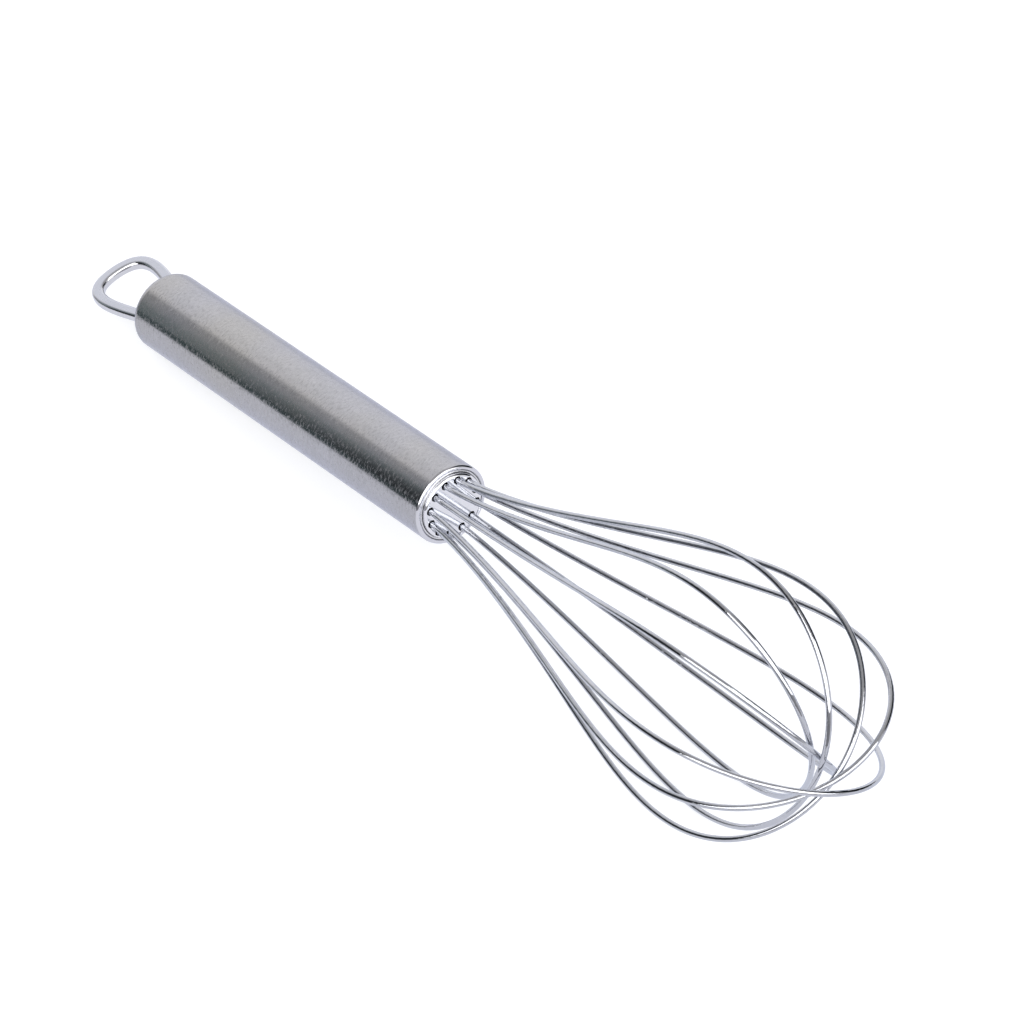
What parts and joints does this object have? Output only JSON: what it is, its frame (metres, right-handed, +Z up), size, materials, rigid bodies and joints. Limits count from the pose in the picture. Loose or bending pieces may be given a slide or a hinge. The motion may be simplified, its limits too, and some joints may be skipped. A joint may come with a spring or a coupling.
{
  "type": "balloon whisk",
  "caption": "Balloon whisk: brushed tube handle with a D-shaped hanging loop, a polished drilled end disc and looped spring wires forming a balloon.",
  "frame": {"origin": "bottom centre of the whisk's bounding box as it lies on a table, resting on the edge of its tail and on two wires", "axes": "+X along the whisk from the hanging loop to the balloon, +Z up"},
  "size_m": [0.3042, 0.063, 0.0708],
  "materials": {
    "handle": "satin, brushed round the tube",
    "wire": "polished spring wire",
    "disc": "mirror polished",
    "ring": "polished",
    "hanger": "satin faces, polished edges",
    "plate": "plain pressed sheet",
    "potting": "cast resin"
  },
  "bodies": {
    "root": {"handle_tube": "handle", "hanging_loop": "hanger", "retaining_ring": "ring", "end_disc": "disc", "front_seal": "potting", "inner_plate": "plate", "tail_anchor": "plate", "wire_loop_1": "wire", "wire_loop_2": "wire", "wire_loop_3": "wire", "wire_loop_4": "wire", "wire_loop_5": "wire", "wire_loop_6": "wire"}
  },
  "joints": []
}
